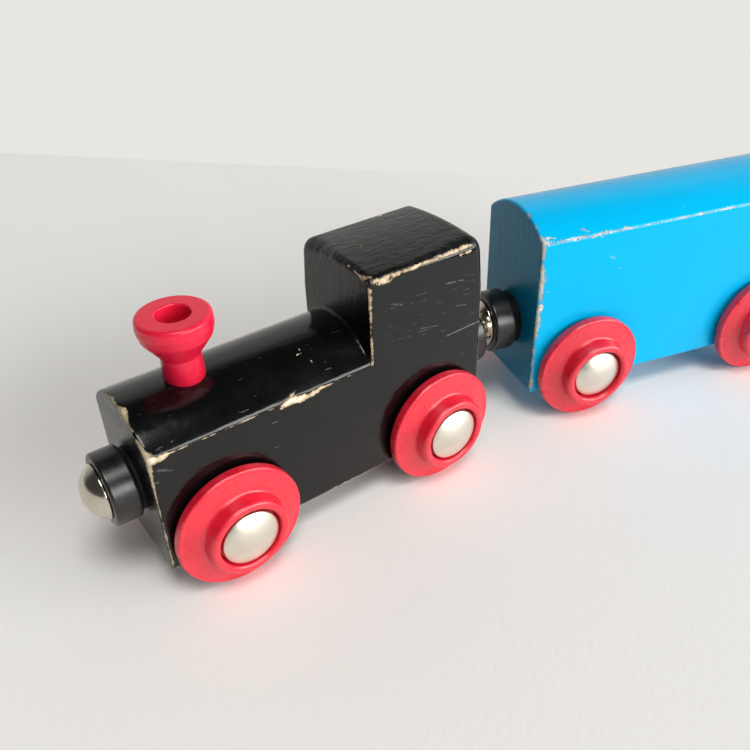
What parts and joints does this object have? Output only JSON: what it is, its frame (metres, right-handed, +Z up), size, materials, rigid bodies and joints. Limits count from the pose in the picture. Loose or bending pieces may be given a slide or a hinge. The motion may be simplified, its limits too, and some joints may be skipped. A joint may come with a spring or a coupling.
{
  "type": "wooden train set",
  "caption": "Wooden toy train: an engine with a funnel and cab, and a roofed wagon on flanged wheels, held together by round magnetic couplings.",
  "frame": {"origin": "middle of the whole train's outline, on the floor that its wheels stand on", "axes": "+Z up; +X from the engine's front towards the wagon, along the engine; +Y to the train's right. The wagon rests swung 15.5 degrees towards -Y about the coupling."},
  "size_m": [0.1544, 0.0482, 0.0434],
  "materials": {
    "black_paint": "semi-gloss black paint on wood, chipped to cream wood at its edges",
    "red_paint": "satin red",
    "blue_paint": "semi-gloss sky-blue paint on wood, worn along its edges",
    "wheel_plastic": "glossy coral red",
    "cap_steel": "satin, turned",
    "axle_steel": "drawn",
    "magnet_coating": "satin black",
    "collar_plastic": "matt black",
    "dome_steel": "polished"
  },
  "bodies": {
    "engine": {"engine_block": "black_paint", "funnel": "red_paint", "engine_front_collar": "collar_plastic", "engine_front_pin": "dome_steel", "engine_rear_collar": "collar_plastic", "engine_rear_pin": "dome_steel"},
    "wagon": {"wagon_block": "blue_paint", "wagon_front_collar": "collar_plastic", "wagon_front_pin": "dome_steel", "wagon_rear_collar": "collar_plastic", "wagon_rear_pin": "dome_steel"},
    "engine_front_axle_set": {"engine_front_axle": "axle_steel", "engine_front_left_cap": "cap_steel", "engine_front_right_cap": "cap_steel"},
    "engine_front_left_wheel": {"engine_front_left_wheel": "wheel_plastic"},
    "engine_front_right_wheel": {"engine_front_right_wheel": "wheel_plastic"},
    "engine_rear_axle_set": {"engine_rear_axle": "axle_steel", "engine_rear_left_cap": "cap_steel", "engine_rear_right_cap": "cap_steel"},
    "engine_rear_left_wheel": {"engine_rear_left_wheel": "wheel_plastic"},
    "engine_rear_right_wheel": {"engine_rear_right_wheel": "wheel_plastic"},
    "engine_front_magnet": {"engine_front_magnet": "magnet_coating"},
    "engine_rear_magnet": {"engine_rear_magnet": "magnet_coating"},
    "wagon_front_axle_set": {"wagon_front_axle": "axle_steel", "wagon_front_left_cap": "cap_steel", "wagon_front_right_cap": "cap_steel"},
    "wagon_front_left_wheel": {"wagon_front_left_wheel": "wheel_plastic"},
    "wagon_front_right_wheel": {"wagon_front_right_wheel": "wheel_plastic"},
    "wagon_rear_axle_set": {"wagon_rear_axle": "axle_steel", "wagon_rear_left_cap": "cap_steel", "wagon_rear_right_cap": "cap_steel"},
    "wagon_rear_left_wheel": {"wagon_rear_left_wheel": "wheel_plastic"},
    "wagon_rear_right_wheel": {"wagon_rear_right_wheel": "wheel_plastic"},
    "wagon_front_magnet": {"wagon_front_magnet": "magnet_coating"},
    "wagon_rear_magnet": {"wagon_rear_magnet": "magnet_coating"}
  },
  "joints": [
    {"name": "coupling_swing", "type": "hinge", "parent": "engine", "child": "wagon", "pos_m": [0.00613, 0.007, 0.018], "axis": [0, 0, 1], "range_deg": [-20.5, 51.5]},
    {"name": "engine_front_axle_spin", "type": "hinge", "parent": "engine", "child": "engine_front_axle_set", "pos_m": [-0.0582, 0.00744, 0.0105], "axis": [0, 1, 0], "continuous": true},
    {"name": "engine_front_left_wheel_spin", "type": "hinge", "parent": "engine_front_axle_set", "child": "engine_front_left_wheel", "pos_m": [-0.0582, 0.00744, 0.0105], "axis": [0, 1, 0], "continuous": true},
    {"name": "engine_front_right_wheel_spin", "type": "hinge", "parent": "engine_front_axle_set", "child": "engine_front_right_wheel", "pos_m": [-0.0582, 0.00744, 0.0105], "axis": [0, 1, 0], "continuous": true},
    {"name": "engine_rear_axle_spin", "type": "hinge", "parent": "engine", "child": "engine_rear_axle_set", "pos_m": [-0.0184, 0.00744, 0.0105], "axis": [0, 1, 0], "continuous": true},
    {"name": "engine_rear_left_wheel_spin", "type": "hinge", "parent": "engine_rear_axle_set", "child": "engine_rear_left_wheel", "pos_m": [-0.0184, 0.00744, 0.0105], "axis": [0, 1, 0], "continuous": true},
    {"name": "engine_rear_right_wheel_spin", "type": "hinge", "parent": "engine_rear_axle_set", "child": "engine_rear_right_wheel", "pos_m": [-0.0184, 0.00744, 0.0105], "axis": [0, 1, 0], "continuous": true},
    {"name": "engine_front_magnet_spin", "type": "hinge", "parent": "engine", "child": "engine_front_magnet", "pos_m": [-0.07283, 0.00744, 0.018], "axis": [1, 0, 0], "continuous": true},
    {"name": "engine_rear_magnet_spin", "type": "hinge", "parent": "engine", "child": "engine_rear_magnet", "pos_m": [-0.00458, 0.00744, 0.018], "axis": [1, 0, 0], "continuous": true},
    {"name": "wagon_front_axle_spin", "type": "hinge", "parent": "wagon", "child": "wagon_front_axle_set", "pos_m": [0.01868, 0.00352, 0.0105], "axis": [0.2672, 0.9636, 0], "continuous": true},
    {"name": "wagon_front_left_wheel_spin", "type": "hinge", "parent": "wagon_front_axle_set", "child": "wagon_front_left_wheel", "pos_m": [0.01868, 0.00352, 0.0105], "axis": [0.2672, 0.9636, 0], "continuous": true},
    {"name": "wagon_front_right_wheel_spin", "type": "hinge", "parent": "wagon_front_axle_set", "child": "wagon_front_right_wheel", "pos_m": [0.01868, 0.00352, 0.0105], "axis": [0.2672, 0.9636, 0], "continuous": true},
    {"name": "wagon_rear_axle_spin", "type": "hinge", "parent": "wagon", "child": "wagon_rear_axle_set", "pos_m": [0.05838, -0.00749, 0.0105], "axis": [0.2672, 0.9636, 0], "continuous": true},
    {"name": "wagon_rear_left_wheel_spin", "type": "hinge", "parent": "wagon_rear_axle_set", "child": "wagon_rear_left_wheel", "pos_m": [0.05838, -0.00749, 0.0105], "axis": [0.2672, 0.9636, 0], "continuous": true},
    {"name": "wagon_rear_right_wheel_spin", "type": "hinge", "parent": "wagon_rear_axle_set", "child": "wagon_rear_right_wheel", "pos_m": [0.05838, -0.00749, 0.0105], "axis": [0.2672, 0.9636, 0], "continuous": true},
    {"name": "wagon_front_magnet_spin", "type": "hinge", "parent": "wagon", "child": "wagon_front_magnet", "pos_m": [0.00429, 0.00751, 0.018], "axis": [0.9636, -0.2672, 0], "continuous": true},
    {"name": "wagon_rear_magnet_spin", "type": "hinge", "parent": "wagon", "child": "wagon_rear_magnet", "pos_m": [0.07276, -0.01148, 0.018], "axis": [0.9636, -0.2672, 0], "continuous": true}
  ]
}
